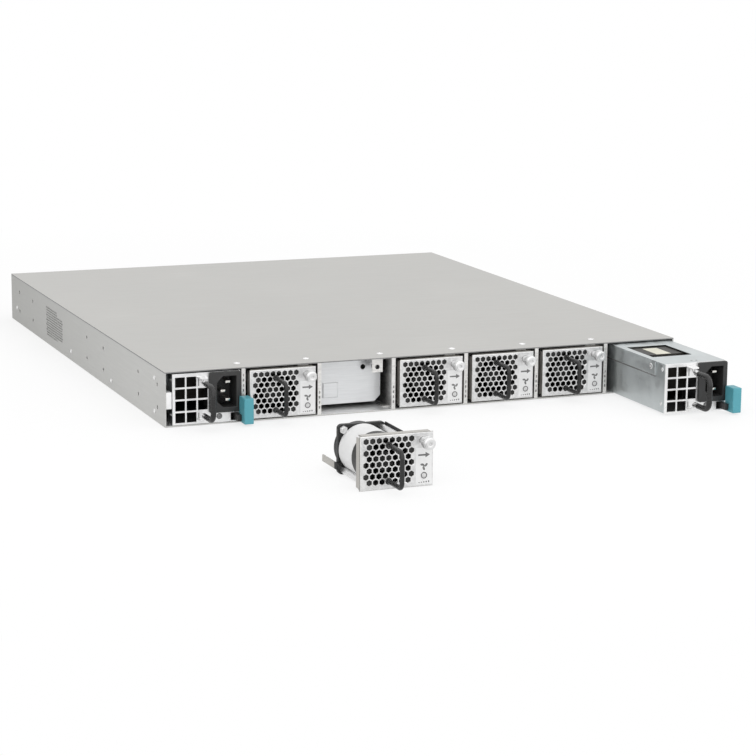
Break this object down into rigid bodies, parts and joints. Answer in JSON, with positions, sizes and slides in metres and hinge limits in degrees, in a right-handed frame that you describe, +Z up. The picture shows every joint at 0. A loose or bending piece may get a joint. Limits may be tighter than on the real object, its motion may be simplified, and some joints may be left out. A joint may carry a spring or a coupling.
{
  "type": "ethernet switch",
  "caption": "Flat rack-mount network switch seen from its service side, with slide-out power supplies, plug-in fan modules behind hexagon grilles and one module taken out.",
  "frame": {"origin": "centre of the chassis underside", "axes": "+Z up, +Y from the service side to the port side, +X to the right as seen at the service side"},
  "size_m": [0.4428, 0.7702, 0.0439],
  "materials": {
    "zinc_steel": "satin zinc plate with faint roll grain",
    "screw_steel": "bright zinc",
    "flap_steel": "bright rolled steel",
    "fan_plate_nickel": "pale nickel plate",
    "thumbscrew_nickel": "polished nickel",
    "black_plastic": "fine-grained black",
    "inlet_plastic": "satin black",
    "bail_rubber": "soft black sleeve on wire",
    "supply_nickel": "bright nickel plate",
    "supply_steel": "cool galvanised sheet",
    "pin_nickel": "nickel plate",
    "teal_plastic": "moulded teal",
    "circuit_board": "green solder mask",
    "sink_aluminium": "milled",
    "cage_steel": "tinned sheet",
    "socket_plastic": "black moulding"
  },
  "bodies": {
    "chassis": {"chassis_base": "zinc_steel", "top_cover": "zinc_steel", "cover_screws": "screw_steel", "bay_divider_1": "zinc_steel", "bay_divider_2": "zinc_steel", "bay_divider_3": "zinc_steel", "bay_divider_4": "zinc_steel", "bay_divider_5": "zinc_steel", "bay_divider_6": "zinc_steel", "raised_flaps": "flap_steel", "front_panel": "zinc_steel", "port_cages": "cage_steel", "main_board": "circuit_board", "heat_sink": "sink_aluminium", "bay_connectors": "socket_plastic", "fan_2_face_plate": "fan_plate_nickel", "fan_2_frame": "black_plastic", "fan_2_handle": "black_plastic"},
    "bay_flap_2": {"bay_flap_2": "flap_steel"},
    "supply_left": {"supply_left_case": "supply_steel", "supply_left_lid": "supply_steel", "supply_left_face_plate": "supply_nickel", "supply_left_inlet": "inlet_plastic", "supply_left_inlet_pins": "pin_nickel", "supply_left_board": "circuit_board"},
    "supply_left_bail": {"supply_left_bail": "bail_rubber"},
    "supply_left_latch": {"supply_left_latch": "inlet_plastic", "supply_left_tab": "teal_plastic"},
    "supply_right": {"supply_right_case": "supply_steel", "supply_right_lid": "supply_steel", "supply_right_face_plate": "supply_nickel", "supply_right_inlet": "inlet_plastic", "supply_right_inlet_pins": "pin_nickel", "supply_right_board": "circuit_board"},
    "supply_right_bail": {"supply_right_bail": "bail_rubber"},
    "supply_right_latch": {"supply_right_latch": "inlet_plastic", "supply_right_tab": "teal_plastic"},
    "fan_1": {"fan_1_face_plate": "fan_plate_nickel", "fan_1_frame": "black_plastic", "fan_1_handle": "black_plastic"},
    "fan_1_rotor": {"fan_1_rotor": "black_plastic"},
    "fan_1_thumbscrew": {"fan_1_thumbscrew": "thumbscrew_nickel"},
    "fan_2_rotor": {"fan_2_rotor": "black_plastic"},
    "fan_2_thumbscrew": {"fan_2_thumbscrew": "thumbscrew_nickel"},
    "fan_3": {"fan_3_face_plate": "fan_plate_nickel", "fan_3_frame": "black_plastic", "fan_3_handle": "black_plastic"},
    "fan_3_rotor": {"fan_3_rotor": "black_plastic"},
    "fan_3_thumbscrew": {"fan_3_thumbscrew": "thumbscrew_nickel"},
    "fan_4": {"fan_4_face_plate": "fan_plate_nickel", "fan_4_frame": "black_plastic", "fan_4_handle": "black_plastic"},
    "fan_4_rotor": {"fan_4_rotor": "black_plastic"},
    "fan_4_thumbscrew": {"fan_4_thumbscrew": "thumbscrew_nickel"},
    "fan_5": {"fan_5_face_plate": "fan_plate_nickel", "fan_5_frame": "black_plastic", "fan_5_handle": "black_plastic"},
    "fan_5_rotor": {"fan_5_rotor": "black_plastic"},
    "fan_5_thumbscrew": {"fan_5_thumbscrew": "thumbscrew_nickel"}
  },
  "joints": [
    {"name": "supply_left_slide", "type": "slide", "parent": "chassis", "child": "supply_left", "axis": [0, -1, 0], "range_m": [0, 0.22]},
    {"name": "supply_left_bail_swing", "type": "hinge", "parent": "supply_left", "child": "supply_left_bail", "pos_m": [-0.1905, -0.2582, 0.0215], "axis": [0, 0, 1], "range_deg": [-85, 60]},
    {"name": "supply_left_latch_press", "type": "hinge", "parent": "supply_left", "child": "supply_left_latch", "pos_m": [-0.16305, -0.217, 0.0054], "axis": [0, 0, 1], "range_deg": [-3.5, 0], "stiffness_Nm_per_rad": 0.4},
    {"name": "supply_right_slide", "type": "slide", "parent": "chassis", "child": "supply_right", "axis": [0, -1, 0], "range_m": [-0.091, 0.129]},
    {"name": "supply_right_bail_swing", "type": "hinge", "parent": "supply_right", "child": "supply_right_bail", "pos_m": [0.186, -0.3492, 0.0215], "axis": [0, 0, 1], "range_deg": [-85, 60]},
    {"name": "supply_right_latch_press", "type": "hinge", "parent": "supply_right", "child": "supply_right_latch", "pos_m": [0.21345, -0.308, 0.0054], "axis": [0, 0, 1], "range_deg": [-3.5, 0], "stiffness_Nm_per_rad": 0.4},
    {"name": "fan_1_slide", "type": "slide", "parent": "chassis", "child": "fan_1", "axis": [0, -1, 0], "range_m": [0, 0.085]},
    {"name": "fan_1_rotor_spin", "type": "hinge", "parent": "fan_1", "child": "fan_1_rotor", "pos_m": [-0.13125, -0.238, 0.0203], "axis": [0, 1, 0], "continuous": true},
    {"name": "fan_1_thumbscrew_turn", "type": "hinge", "parent": "fan_1", "child": "fan_1_thumbscrew", "pos_m": [-0.10615, -0.258, 0.035], "axis": [0, 1, 0], "continuous": true},
    {"name": "fan_2_rotor_spin", "type": "hinge", "parent": "chassis", "child": "fan_2_rotor", "pos_m": [-0.13085, -0.469, 0.018], "axis": [0, 1, 0], "continuous": true},
    {"name": "fan_2_thumbscrew_turn", "type": "hinge", "parent": "chassis", "child": "fan_2_thumbscrew", "pos_m": [-0.10575, -0.489, 0.0327], "axis": [0, 1, 0], "continuous": true},
    {"name": "fan_3_slide", "type": "slide", "parent": "chassis", "child": "fan_3", "axis": [0, -1, 0], "range_m": [0, 0.085]},
    {"name": "fan_3_rotor_spin", "type": "hinge", "parent": "fan_3", "child": "fan_3_rotor", "pos_m": [-0.00585, -0.238, 0.0203], "axis": [0, 1, 0], "continuous": true},
    {"name": "fan_3_thumbscrew_turn", "type": "hinge", "parent": "fan_3", "child": "fan_3_thumbscrew", "pos_m": [0.01925, -0.258, 0.035], "axis": [0, 1, 0], "continuous": true},
    {"name": "fan_4_slide", "type": "slide", "parent": "chassis", "child": "fan_4", "axis": [0, -1, 0], "range_m": [0, 0.085]},
    {"name": "fan_4_rotor_spin", "type": "hinge", "parent": "fan_4", "child": "fan_4_rotor", "pos_m": [0.05685, -0.238, 0.0203], "axis": [0, 1, 0], "continuous": true},
    {"name": "fan_4_thumbscrew_turn", "type": "hinge", "parent": "fan_4", "child": "fan_4_thumbscrew", "pos_m": [0.08195, -0.258, 0.035], "axis": [0, 1, 0], "continuous": true},
    {"name": "fan_5_slide", "type": "slide", "parent": "chassis", "child": "fan_5", "axis": [0, -1, 0], "range_m": [0, 0.085]},
    {"name": "fan_5_rotor_spin", "type": "hinge", "parent": "fan_5", "child": "fan_5_rotor", "pos_m": [0.11955, -0.238, 0.0203], "axis": [0, 1, 0], "continuous": true},
    {"name": "fan_5_thumbscrew_turn", "type": "hinge", "parent": "fan_5", "child": "fan_5_thumbscrew", "pos_m": [0.14465, -0.258, 0.035], "axis": [0, 1, 0], "continuous": true},
    {"name": "bay_flap_2_swing", "type": "hinge", "parent": "chassis", "child": "bay_flap_2", "pos_m": [-0.0627, -0.237, 0.0409], "axis": [1, 0, 0], "range_deg": [0, 88]}
  ]
}
